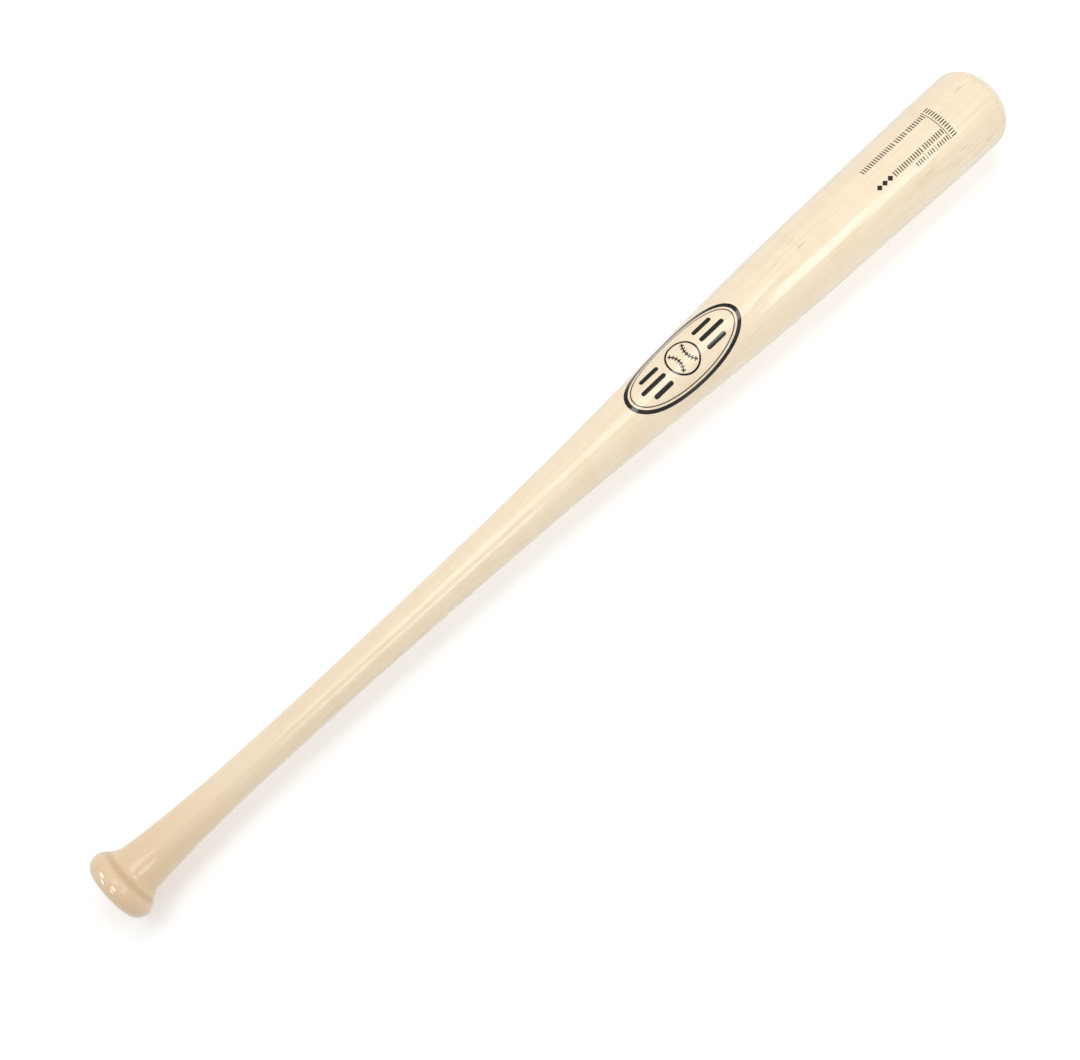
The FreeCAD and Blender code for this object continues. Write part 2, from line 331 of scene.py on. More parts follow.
class Nodes:
    """Short ways to add the nodes that the finishes are made of."""

    def __init__(self, tree: bpy.types.NodeTree) -> None:
        """Works in this node tree."""
        self.tree = tree

    def put(self, value: Value, socket: bpy.types.NodeSocket) -> None:
        """Sets a socket to a number or links something to it.

        Args:
            value: The number, or the output to link.
            socket: The input that takes it.
        """
        if isinstance(value, bpy.types.NodeSocket):
            self.tree.links.new(value, socket)
        else:
            socket.default_value = value

    def math(self, operation: str, first: Value, second: Value = 0.0) -> bpy.types.NodeSocket:
        """One sum of two numbers.

        Args:
            operation: The kind of sum.
            first: The first number.
            second: The second number, for sums that take two.

        Returns:
            The result.
        """
        node = self.tree.nodes.new("ShaderNodeMath")
        node.operation = operation
        self.put(first, node.inputs[0])
        self.put(second, node.inputs[1])
        return node.outputs[0]

    def place(self, of_room: bool = False) -> tuple[bpy.types.NodeSocket, ...]:
        """The surface point, or the way into the room.

        Args:
            of_room: Whether the way into the room is wanted.

        Returns:
            It along X, Y and Z, and all three together.
        """
        source = self.tree.nodes.new("ShaderNodeTexCoord")
        coordinates = source.outputs["Generated" if of_room else "Object"]
        split = self.tree.nodes.new("ShaderNodeSeparateXYZ")
        self.tree.links.new(coordinates, split.inputs[0])
        return split.outputs[0], split.outputs[1], split.outputs[2], coordinates

    def facing_along(self) -> bpy.types.NodeSocket:
        """How squarely the surface faces along the bat.

        Returns:
            1 on an end face, 0 on the side.
        """
        normal = self.tree.nodes.new("ShaderNodeTexCoord").outputs["Normal"]
        split = self.tree.nodes.new("ShaderNodeSeparateXYZ")
        self.tree.links.new(normal, split.inputs[0])
        return self.math("ABSOLUTE", split.outputs[0])

    def noise(
        self, point: bpy.types.NodeSocket, scale: tuple[float, float, float],
        detail: float = 2.0, offset: float = 0.0,
    ) -> bpy.types.NodeSocket:
        """Soft noise over the surface.

        Args:
            point: Where on the surface.
            scale: About how many spots it has in a metre along each axis.
            detail: How many finer layers it has.
            offset: Shift that makes it unlike the other noises.

        Returns:
            A number from 0 to 1.
        """
        mapping = self.tree.nodes.new("ShaderNodeMapping")
        mapping.inputs["Scale"].default_value = scale
        mapping.inputs["Location"].default_value = (offset, offset * 0.7, -offset)
        self.tree.links.new(point, mapping.inputs["Vector"])
        node = self.tree.nodes.new("ShaderNodeTexNoise")
        node.inputs["Scale"].default_value = 1.0
        node.inputs["Detail"].default_value = detail
        node.inputs["Roughness"].default_value = 0.55
        self.tree.links.new(mapping.outputs[0], node.inputs["Vector"])
        return node.outputs["Fac"]

    def ramp(self, value: Value, low: Value, high: Value) -> bpy.types.NodeSocket:
        """A smooth step from 0 to 1.

        Args:
            value: What the step follows.
            low: Where it is still 0.
            high: Where it has reached 1; this may lie below 'low'.

        Returns:
            The step.
        """
        node = self.tree.nodes.new("ShaderNodeMapRange")
        node.interpolation_type = "SMOOTHSTEP"
        self.put(value, node.inputs["Value"])
        self.put(low, node.inputs["From Min"])
        self.put(high, node.inputs["From Max"])
        return node.outputs["Result"]

    def mix(
        self, share: Value, first: Colour | bpy.types.NodeSocket, second: Colour
    ) -> bpy.types.NodeSocket:
        """A colour part way from the first to the second.

        Args:
            share: How far, from 0 to 1.
            first: The colour at 0.
            second: The colour at 1.

        Returns:
            The mixed colour.
        """
        node = self.tree.nodes.new("ShaderNodeMix")
        node.data_type = "RGBA"
        self.put(share, node.inputs[0])
        for value, socket in ((first, node.inputs[6]), (second, node.inputs[7])):
            if isinstance(value, bpy.types.NodeSocket):
                self.tree.links.new(value, socket)
            else:
                socket.default_value = (*value, 1.0)
        return node.outputs[2]

    def group(self, tree: bpy.types.NodeTree, **settings: float) -> bpy.types.Node:
        """Places a node group with its own values.

        Args:
            tree: The group.
            settings: Values of its inputs; underscores stand for the spaces in their names.

        Returns:
            The placed node.
        """
        node = self.tree.nodes.new("ShaderNodeGroup")
        node.node_tree = tree
        for label, value in settings.items():
            node.inputs[label.replace("_", " ")].default_value = value
        return node

    def bump(self, height: bpy.types.NodeSocket, strength: float, distance: float) -> bpy.types.NodeSocket:
        """A surface normal that follows a height.

        Args:
            height: The height over the surface.
            strength: How much of it shows, from 0 to 1.
            distance: What a height of 1 stands for.

        Returns:
            The normal.
        """
        node = self.tree.nodes.new("ShaderNodeBump")
        node.inputs["Strength"].default_value = strength
        node.inputs["Distance"].default_value = distance
        self.tree.links.new(height, node.inputs["Height"])
        return node.outputs["Normal"]


class SharedEffects:
    """The node groups that more than one finish or layer uses, each built once."""

    def __init__(self) -> None:
        """Builds every group."""
        self.grain = self._maple_grain()
        self.flecks = self._mineral_flecks()
        self.lacquer = self._lacquer_surface()
        self.wear = self._print_wear()

    @staticmethod
    def _maple_grain() -> bpy.types.NodeTree:
        """Growth rings about a distant pith, long fibres, and the cross curl of figured maple.

        Returns:
            The node group.
        """
        builder = GroupBuilder(
            "maple_grain",
            {"Ring Pitch": 2.4 * MM, "Wobble": 2.6 * MM, "Pith Offset": 0.105},
            dict.fromkeys(("Rings", "Fibre", "Curl", "Tone"), "NodeSocketFloat"),
        )
        nodes = Nodes(builder.tree)
        along, across, up, point = nodes.place()
        take = builder.taken.outputs
        wander = nodes.math("SUBTRACT", nodes.noise(point, (4.0, 14.0, 14.0), 2.0), 0.5)
        wander = nodes.math("MULTIPLY", wander, take["Wobble"])
        run_out, pith_aside, pith_below = 0.012, 0.62, 0.78
        lean = nodes.math("MULTIPLY", along, run_out)
        off_side = nodes.math("MULTIPLY", take["Pith Offset"], pith_aside)
        side = nodes.math("SUBTRACT", nodes.math("SUBTRACT", across, off_side), lean)
        rise = nodes.math("ADD", up, nodes.math("MULTIPLY", take["Pith Offset"], pith_below))
        squares = nodes.math("ADD", nodes.math("MULTIPLY", side, side), nodes.math("MULTIPLY", rise, rise))
        from_pith = nodes.math("ADD", nodes.math("SQRT", squares), wander)
        count = nodes.math("DIVIDE", from_pith, take["Ring Pitch"])
        share = nodes.math("FRACT", count)
        late = nodes.math("MULTIPLY", nodes.ramp(share, 0.45, 0.97), nodes.ramp(share, 1.0, 0.985))
        year = nodes.tree.nodes.new("ShaderNodeTexWhiteNoise")
        year.noise_dimensions = "1D"
        nodes.put(nodes.math("FLOOR", count), year.inputs["W"])
        builder.give("Rings", nodes.math("MULTIPLY", late, nodes.ramp(year.outputs["Value"], 0.05, 1.1)))
        broad = nodes.noise(point, (4.5, 420.0, 420.0), 4.0, 3.1)
        fine = nodes.noise(point, (26.0, 1900.0, 1900.0), 2.0, 7.7)
        broad_share = 0.6
        broad = nodes.math("MULTIPLY", broad, broad_share)
        fine = nodes.math("MULTIPLY", fine, 1 - broad_share)
        builder.give("Fibre", nodes.math("ADD", broad, fine))
        builder.give("Curl", nodes.noise(point, (105.0, 16.0, 16.0), 2.5, 11.3))
        builder.give("Tone", nodes.noise(point, (3.2, 34.0, 34.0), 3.0, 5.9))
        return builder.tree

    @staticmethod
    def _mineral_flecks() -> bpy.types.NodeTree:
        """Short brown dashes that follow the grain, in loose clusters.

        Returns:
            The node group.
        """
        builder = GroupBuilder(
            "mineral_flecks", {"Sparseness": 0.70, "Clusters": 0.52}, {"Mask": "NodeSocketFloat"}
        )
        nodes = Nodes(builder.tree)
        point = nodes.place()[3]
        take = builder.taken.outputs
        dashes = nodes.noise(point, (36.0, 1250.0, 1250.0), 1.0, 21.0)
        edge = nodes.math("ADD", take["Sparseness"], 0.06)
        cluster = nodes.noise(point, (11.0, 36.0, 36.0), 1.0, 2.4)
        near = nodes.ramp(cluster, take["Clusters"], nodes.math("ADD", take["Clusters"], 0.08))
        builder.give("Mask", nodes.math("MULTIPLY", nodes.ramp(dashes, take["Sparseness"], edge), near))
        return builder.tree

    @staticmethod
    def _lacquer_surface() -> bpy.types.NodeTree:
        """The faint orange peel and the long waves of a sprayed and dried lacquer.

        Returns:
            The node group.
        """
        builder = GroupBuilder(
            "lacquer_surface", {"Peel": 0.5, "Waves": 0.5}, {"Height": "NodeSocketFloat"}
        )
        nodes = Nodes(builder.tree)
        point = nodes.place()[3]
        take = builder.taken.outputs
        peel = nodes.math("MULTIPLY", nodes.noise(point, (420.0, 420.0, 420.0), 1.0, 1.3), take["Peel"])
        waves = nodes.math("MULTIPLY", nodes.noise(point, (14.0, 260.0, 260.0), 2.0, 8.8), take["Waves"])
        builder.give("Height", nodes.math("ADD", peel, waves))
        return builder.tree

    @staticmethod
    def _print_wear() -> bpy.types.NodeTree:
        """Small pinholes and thin places in a printed film.

        Returns:
            The node group.
        """
        builder = GroupBuilder(
            "print_wear",
            {"Pinholes": 0.72, "Grain Size": 2600.0},
            dict.fromkeys(("Mask", "Thin"), "NodeSocketFloat"),
        )
        nodes = Nodes(builder.tree)
        point = nodes.place()[3]
        speck = builder.tree.nodes.new("ShaderNodeTexNoise")
        speck.inputs["Detail"].default_value = 1.0
        builder.tree.links.new(point, speck.inputs["Vector"])
        builder.tree.links.new(builder.taken.outputs["Grain Size"], speck.inputs["Scale"])
        edge = nodes.math("ADD", builder.taken.outputs["Pinholes"], 0.06)
        builder.give("Mask", nodes.ramp(speck.outputs["Fac"], builder.taken.outputs["Pinholes"], edge))
        builder.give("Thin", nodes.noise(point, (60.0, 700.0, 700.0), 2.0, 4.2))
        return builder.tree


# ---- finishes --------------------------------------------------------------------------------
def new_material(name: str) -> tuple[bpy.types.Material, Nodes, bpy.types.Node]:
    """A node material with nothing in it but its shader.

    Args:
        name: The material's name.

    Returns:
        The material, its nodes and its shader.
    """
    material = bpy.data.materials.new(name)
    material.use_nodes = True
    shader = material.node_tree.nodes["Principled BSDF"]
    return material, Nodes(material.node_tree), shader


@dataclass(frozen=True)
class LacqueredMaple:
    """Pale maple under clear gloss lacquer, more tan at the knob than on the barrel."""

    cream: Colour = (0.950, 0.815, 0.612)
    tan: Colour = (0.810, 0.600, 0.380)
    late_wood: Colour = (0.800, 0.600, 0.385)
    fibre_shade: Colour = (0.830, 0.650, 0.440)
    fleck: Colour = (0.330, 0.170, 0.075)
    end_grain: Colour = (0.620, 0.430, 0.240)
    # colour of the crease band behind the knob: partly burnished wood, partly painted shade of the hollow
    crease_burn_and_shade: Colour = (0.560, 0.340, 0.150)
    neck_reach: float = 160 * MM
    handle_reach: float = 380 * MM
    crease_place: float = 16.4 * MM
    crease_width: float = 3.2 * MM
    handle_tan: float = 0.24
    patch_tan: float = 0.14
    curl_tan: float = 0.15
    ring_strength: float = 0.30
    fibre_strength: float = 0.38
    fleck_strength: float = 0.62
    end_strength: float = 0.30
    crease_burn_and_shade_strength: float = 0.46
    wood_shine: float = 0.20
    lacquer_roughness: float = 0.075

    def _ground(
        self, nodes: Nodes, along: bpy.types.NodeSocket, grain: bpy.types.Node
    ) -> bpy.types.NodeSocket:
        """The colour of the wood between its lines: cream, with tan near the knob and in soft patches.

        Args:
            nodes: Where it is built.
            along: Distance from the knob's end face.
            grain: The placed grain group.

        Returns:
            The colour.
        """
        near_knob = nodes.ramp(along, self.neck_reach, -4 * MM)
        handle = nodes.ramp(along, self.handle_reach, self.neck_reach)
        on_handle = nodes.math("MULTIPLY", handle, self.handle_tan)
        colour = nodes.mix(nodes.math("MAXIMUM", near_knob, on_handle), self.cream, self.tan)
        tone = nodes.ramp(grain.outputs["Tone"], 0.35, 0.75)
        colour = nodes.mix(nodes.math("MULTIPLY", tone, self.patch_tan), colour, self.tan)
        curl = nodes.ramp(grain.outputs["Curl"], 0.42, 0.70)
        return nodes.mix(nodes.math("MULTIPLY", curl, self.curl_tan), colour, self.tan)

    def _lines(
        self, nodes: Nodes, colour: bpy.types.NodeSocket,
        grain: bpy.types.Node, flecks: bpy.types.NodeSocket,
    ) -> bpy.types.NodeSocket:
        """Adds the growth rings, the fibres and the flecks.

        Args:
            nodes: Where they are built.
            colour: The colour of the wood so far.
            grain: The placed grain group.
            flecks: Where the flecks are.

        Returns:
            The colour with the lines on it.
        """
        rings = nodes.math("MULTIPLY", grain.outputs["Rings"], self.ring_strength)
        colour = nodes.mix(rings, colour, self.late_wood)
        fibre = nodes.ramp(grain.outputs["Fibre"], 0.40, 0.70)
        colour = nodes.mix(nodes.math("MULTIPLY", fibre, self.fibre_strength), colour, self.fibre_shade)
        return nodes.mix(nodes.math("MULTIPLY", flecks, self.fleck_strength), colour, self.fleck)

    def _ends(
        self, nodes: Nodes, colour: bpy.types.NodeSocket, along: bpy.types.NodeSocket
    ) -> bpy.types.NodeSocket:
        """Darkens the end grain, and darkens the crease behind the knob: partly a darker burnished line in
        the wood, partly painted shade of the hollow.

        Args:
            nodes: Where this is built.
            colour: The colour of the wood so far.
            along: Distance from the knob's end face.

        Returns:
            The finished colour.
        """
        ends = nodes.ramp(nodes.facing_along(), 0.80, 0.99)
        colour = nodes.mix(nodes.math("MULTIPLY", ends, self.end_strength), colour, self.end_grain)
        # painted shade: a darker brown band in the hollow behind the knob, partly a burnished line in the
        # wood
        off_crease = nodes.math("ABSOLUTE", nodes.math("SUBTRACT", along, self.crease_place))
        crease_burn_and_shade = nodes.ramp(off_crease, self.crease_width, 0.0)
        return nodes.mix(nodes.math("MULTIPLY", crease_burn_and_shade, self.crease_burn_and_shade_strength), colour, self.crease_burn_and_shade)

    def build(self, effects: SharedEffects) -> bpy.types.Material:
        """Makes the material.

        Args:
            effects: The shared node groups.

        Returns:
            The finished material.
        """
        material, nodes, shader = new_material("lacquered_maple")
        along = nodes.place()[0]
        grain = nodes.group(effects.grain)
        flecks = nodes.group(effects.flecks).outputs["Mask"]
        colour = self._lines(nodes, self._ground(nodes, along, grain), grain, flecks)
        nodes.put(self._ends(nodes, colour, along), shader.inputs["Base Color"])
        rough = nodes.math("ADD", nodes.math("MULTIPLY", grain.outputs["Fibre"], 0.18), 0.30)
        nodes.put(rough, shader.inputs["Roughness"])
        lacquer = nodes.group(effects.lacquer)
        nodes.put(nodes.bump(lacquer.outputs["Height"], 0.25, 0.10 * MM), shader.inputs["Normal"])
        shader.inputs["Specular IOR Level"].default_value = self.wood_shine
        shader.inputs["Coat Weight"].default_value = 1.0
        shader.inputs["Coat Roughness"].default_value = self.lacquer_roughness
        shader.inputs["Coat IOR"].default_value = LACQUER_IOR
        return material


@dataclass(frozen=True)
class PrintedFilm:
    """An opaque ink or foil under the lacquer."""

    name: str
    ink: Colour
    thin_ink: Colour
    roughness: float
    pinholes: float
    shine: float
    thinning: float = 0.5
    lacquer_roughness: float = 0.045

    def build(self, effects: SharedEffects) -> bpy.types.Material:
        """Makes the material.

        Args:
            effects: The shared node groups.

        Returns:
            The finished material.
        """
        material, nodes, shader = new_material(self.name)
        wear = nodes.group(effects.wear, Pinholes=self.pinholes)
        thin = nodes.math("MULTIPLY", nodes.ramp(wear.outputs["Thin"], 0.40, 0.75), self.thinning)
        colour = nodes.mix(nodes.math("MAXIMUM", thin, wear.outputs["Mask"]), self.ink, self.thin_ink)
        nodes.put(colour, shader.inputs["Base Color"])
        rough = nodes.math("ADD", nodes.math("MULTIPLY", wear.outputs["Thin"], 0.15), self.roughness)
        nodes.put(rough, shader.inputs["Roughness"])
        lacquer = nodes.group(effects.lacquer)
        nodes.put(nodes.bump(lacquer.outputs["Height"], 0.12, 0.10 * MM), shader.inputs["Normal"])
        shader.inputs["Specular IOR Level"].default_value = self.shine
        shader.inputs["Coat Weight"].default_value = 1.0
        shader.inputs["Coat Roughness"].default_value = self.lacquer_roughness
        shader.inputs["Coat IOR"].default_value = LACQUER_IOR
        return material


# ---- meshes ----------------------------------------------------------------------------------
def add_piece(
    name: str, vertices: Sequence[tuple[float, float, float]], faces: Sequence[tuple[int, ...]],
    material: bpy.types.Material, slot: Slot, node: str,
) -> bpy.types.Object:
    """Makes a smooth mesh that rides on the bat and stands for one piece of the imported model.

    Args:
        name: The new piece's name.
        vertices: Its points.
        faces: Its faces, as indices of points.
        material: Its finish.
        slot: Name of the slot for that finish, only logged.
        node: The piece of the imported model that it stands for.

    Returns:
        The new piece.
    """
    mesh = bpy.data.meshes.new(name)
    mesh.from_pydata(vertices, [], faces)
    shape = bmesh.new()
    shape.from_mesh(mesh)
    bmesh.ops.recalc_face_normals(shape, faces=shape.faces)
    for face in shape.faces:
        face.smooth = True
    for edge in shape.edges:
        edge.smooth = edge.calc_face_angle() < SHARP_TURN
    shape.to_mesh(mesh)
    shape.free()
    mesh.materials.append(material)
    piece = bpy.data.objects.new(name, mesh)
    bpy.context.scene.collection.objects.link(piece)
    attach(piece, BODY)
    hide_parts(node)
    LOG.info("%s: %d points, %d faces, %s", name, len(mesh.vertices), len(mesh.polygons), slot.value)
    return piece


@dataclass
class TurnedBody:
    """The one piece of wood: knob, handle, taper, barrel and the cup in its end."""

    outline: BatOutline
    finish: bpy.types.Material
    around: int = 168

    def build(self) -> bpy.types.Object:
        """Spins the outline round the bat's axis and dresses it.

        Returns:
            The body.
        """
        outline = self.outline.points()
        vertices = [(outline[0][0], 0.0, 0.0)]
        turns = np.linspace(0, 2 * math.pi, self.around, endpoint=False)
        rings = outline[1:-1]
        for along, radius in rings:
            vertices += [(along, -radius * math.sin(turn), radius * math.cos(turn)) for turn in turns]
        vertices.append((outline[-1][0], 0.0, 0.0))
        last = len(vertices) - 1
        faces: list[tuple[int, ...]] = []
        for spoke in range(self.around):
            after = (spoke + 1) % self.around
            faces.append((0, 1 + spoke, 1 + after))
            for ring in range(len(rings) - 1):
                start = 1 + ring * self.around
                end = start + self.around
                faces.append((start + spoke, end + spoke, end + after, start + after))
            start = last - self.around
            faces.append((last, start + after, start + spoke))
        return add_piece("bat_body", vertices, faces, self.finish, Slot.MAPLE, "turned_body")


@dataclass(frozen=True)
class BatSkin:
    """The turned surface that the films lie on."""

    radius_at: Callable[[float], float]
    film: float = 0.10 * MM
    sunk: float = 0.02 * MM

    def spot(
        self, along: float, around: float, lift: float, turn: float, lay: Lay
    ) -> tuple[float, float, float]:
        """A point of the surface or just over it.

        Args:
            along: Distance from the knob's end face.
            around: Distance round the bat from the drawing's middle line, in the drawing.
            lift: Height over the wood.
            turn: Turn of that middle line from the top of the bat, in radians.
            lay: How the drawing is laid on the bat.

        Returns:
            The point.
        """
        radius = self.radius_at(along)
        share = around / radius
        angle = turn + (share if lay is Lay.WRAPPED else math.asin(max(-1.0, min(1.0, share))))
        return along, -(radius + lift) * math.sin(angle), (radius + lift) * math.cos(angle)


Grid = list[list[tuple[float, float]]]


@dataclass
class FilmPiece:
    """One film: patches of ink, each drawn as a grid of points that is closed or open along its rows."""

    name: str
    node: str
    turn: float
    lay: Lay
    grids: list[Grid]
    closed: bool = False

    def build(self, skin: BatSkin, finish: bpy.types.Material, slot: Slot) -> bpy.types.Object:
        """Lays every patch on the bat as a thin closed solid.

        Args:
            skin: The surface that it lies on.
            finish: Its material.
            slot: Name of the slot for that material, only logged.

        Returns:
            The new piece.
        """
        vertices: list[tuple[float, float, float]] = []
        faces: list[tuple[int, ...]] = []
        for grid in self.grids:
            self._add_patch(grid, skin, vertices, faces)
        return add_piece(self.name, vertices, faces, finish, slot, self.node)

    def _add_patch(
        self, grid: Grid, skin: BatSkin,
        vertices: list[tuple[float, float, float]], faces: list[tuple[int, ...]],
    ) -> None:
        """Adds the top, the underside and the edge of one patch.

        Args:
            grid: The drawing of the patch.
            skin: The surface that it lies on.
            vertices: The film's points so far, added to here.
            faces: The film's faces so far, added to here.
        """
        rows, columns = len(grid), len(grid[0])
        base = len(vertices)
        layer = rows * columns
        for lift in (skin.film, -skin.sunk):
            for row in grid:
                vertices += [skin.spot(along, around, lift, self.turn, self.lay) for along, around in row]

        def corner(row: int, column: int, below: bool = False) -> int:
            """Index of a grid point, on the top or on the underside."""
            return base + (row % rows) * columns + column + (layer if below else 0)

        spans = rows if self.closed else rows - 1
        for row in range(spans):
            for column in range(columns - 1):
                loop = ((row, column), (row + 1, column), (row + 1, column + 1), (row, column + 1))
                faces.append(tuple(corner(*spot) for spot in loop))
                faces.append(tuple(corner(*spot, True) for spot in reversed(loop)))
            for column in (0, columns - 1):
                faces.append((corner(row, column), corner(row, column, True),
                              corner(row + 1, column, True), corner(row + 1, column)))
        if not self.closed:
            for row in (0, rows - 1):
                for column in range(columns - 1):
                    faces.append((corner(row, column), corner(row, column + 1),
                                  corner(row, column + 1, True), corner(row, column, True)))


# ---- drawings of the marks -------------------------------------------------------------------
def oval_ring(centre: float, outer: tuple[float, float], width: float, rows: int, columns: int) -> Grid:
    """A ring between two ovals.

    Args:
        centre: Place of its centre along the bat.
        outer: Half its length along the bat and half its height round it.
        width: Width of the ring.
        rows: Points round the ring.
        columns: Points across its width.

    Returns:
        The grid, closed along its rows.
    """
    grid = []
    for turn in np.linspace(0, 2 * math.pi, rows, endpoint=False):
        row = []
        for inward in np.linspace(0, width, columns):
            long_way = centre + (outer[0] - inward) * math.cos(turn)
            row.append((long_way, (outer[1] - inward) * math.sin(turn)))
        grid.append(row)
    return grid


def curved_band(
    centre: tuple[float, float], radius: float, width: float, start: float, end: float, rows: int,
    columns: int = 3,
) -> Grid:
    """A band along an arc, from one angle to the other.

    Args:
        centre: The arc's centre.
        radius: Its radius, in the middle of the band.
        width: Width of the band.
        start: The first angle.
        end: The last angle.
        rows: Points along the arc.
        columns: Points across the width.

    Returns:
        The grid, open along its rows.
    """
    grid = []
    for turn in np.linspace(start, end, rows):
        reach = np.linspace(radius - width / 2, radius + width / 2, columns)
        grid.append([(centre[0] + r * math.cos(turn), centre[1] + r * math.sin(turn)) for r in reach])
    return grid


def block(start: float, length: float, low: float, high: float, rows: int = 2, columns: int = 5) -> Grid:
    """A rectangle along the bat."""
    across = np.linspace(low, high, columns)
    return [[(along, v) for v in across] for along in np.linspace(start, start + length, rows)]


def pointed(start: float, length: float, height: float) -> Grid:
    """A small diamond along the bat.

    Args:
        start: Where its first tip is.
        length: Length from tip to tip.
        height: Height in the middle.

    Returns:
        The grid, open along its rows.
    """
    grid = []
    for share in np.linspace(0, 1, 9):
        half = height / 2 * max(BLUNT_TIP, 1 - abs(2 * share - 1))
        grid.append([(start + share * length, v) for v in np.linspace(-half, half, 5)])
    return grid


def round_ended(start: float, length: float, across: float, width: float) -> Grid:
    """A bar along the bat with round ends.

    Args:
        start: Where it begins.
        length: Its length.
        across: Distance of its middle line from the drawing's.
        width: Its width.

    Returns:
        The grid, open along its rows.
    """
    half = width / 2
    sweep = half * (1 - np.cos(np.linspace(0, math.pi / 2, 9)))
    places = [*sweep, *np.linspace(half, length - half, 9)[1:-1], *(length - sweep[::-1])]
    grid = []
    for place in places:
        into = min(place, length - place, half)
        reach = max(BLUNT_TIP * half, math.sqrt(max(0.0, half ** 2 - (half - into) ** 2)))
        grid.append([(start + place, across + v) for v in np.linspace(-reach, reach, 7)])
    return grid


@dataclass
class CentreLabel:
    """The oval label: a border, a fine line inside it, and a stitched ball between bars."""

    skin: BatSkin
    finish: bpy.types.Material
    centre: float
    turn: float = math.radians(-3)
    half_length: float = 51 * MM
    half_height: float = 24 * MM
    border_width: float = 3.0 * MM
    pinstripe_gap: float = 1.7 * MM
    pinstripe_width: float = 0.8 * MM
    ball_radius: float = 12.5 * MM
    ball_line: float = 1.3 * MM
    seam_radius: float = 11.0 * MM
    seam_offset: float = 14.6 * MM
    seam_line: float = 1.0 * MM
    seam_gap: float = 0.8 * MM
    stitch_count: int = 7
    stitch_turn: float = math.radians(12.5)
    stitch_length: float = 3.2 * MM
    stitch_width: float = 0.8 * MM
    bar_gap: float = 4.0 * MM
    bar_lengths: tuple[float, ...] = (17 * MM, 22 * MM, 17 * MM)
    bar_width: float = 3.2 * MM
    bar_pitch: float = 7.4 * MM

    def build(self) -> list[bpy.types.Object]:
        """Makes the five films of the label.

        Returns:
            The films.
        """
        inset = self.border_width + self.pinstripe_gap
        outer = (self.half_length, self.half_height)
        inner = (self.half_length - inset, self.half_height - inset)
        ball = (self.ball_radius, self.ball_radius)
        films = [
            FilmPiece("label_border_film", "label_border", self.turn, Lay.WRAPPED,
                      [oval_ring(self.centre, outer, self.border_width, OVAL_STEPS, 6)], closed=True),
            FilmPiece("label_pinstripe_film", "label_pinstripe", self.turn, Lay.WRAPPED,
                      [oval_ring(self.centre, inner, self.pinstripe_width, OVAL_STEPS, 3)], closed=True),
            FilmPiece("label_ball_film", "label_ball", self.turn, Lay.FROM_ABOVE,
                      [oval_ring(self.centre, ball, self.ball_line, BALL_STEPS, 4)], closed=True),
            FilmPiece("label_seams_film", "label_seams", self.turn, Lay.FROM_ABOVE, self._seams()),
            FilmPiece("label_bars_film", "label_bars", self.turn, Lay.FROM_ABOVE, self._bars()),
        ]
        return [film.build(self.skin, self.finish, Slot.LABEL) for film in films]

    def _seams(self) -> list[Grid]:
        """Both seams of the ball, each with a row of stitches across it.

        Returns:
            The drawing.
        """
        clear = self.ball_radius - self.ball_line - self.seam_gap
        reach = math.acos((self.seam_offset ** 2 + self.seam_radius ** 2 - clear ** 2)
                          / (2 * self.seam_offset * self.seam_radius))
        grids = []
        for facing, side in ((math.pi, 1), (0.0, -1)):
            middle = (self.centre + side * self.seam_offset, 0.0)
            ends = (facing - reach, facing + reach)
            grids.append(curved_band(middle, self.seam_radius, self.seam_line, *ends, SEAM_STEPS))
            thread = (self.stitch_length - self.seam_line) / 2
            for index in range(self.stitch_count):
                turn = facing + (index - (self.stitch_count - 1) / 2) * self.stitch_turn
                for outward in (-1, 1):
                    radius = self.seam_radius + outward * (self.seam_line + thread) / 2
                    half = self.stitch_width / 2 / radius
                    grids.append(curved_band(middle, radius, thread, turn - half, turn + half, 2))
        return grids

    def _bars(self) -> list[Grid]:
        """Three bars on each side of the ball.

        Returns:
            The drawing.
        """
        grids = []
        near = self.ball_radius + self.bar_gap
        for index, length in enumerate(self.bar_lengths):
            across = (index - (len(self.bar_lengths) - 1) / 2) * self.bar_pitch
            grids.append(round_ended(self.centre + near, length, across, self.bar_width))
            grids.append(round_ended(self.centre - near - length, length, across, self.bar_width))
        return grids


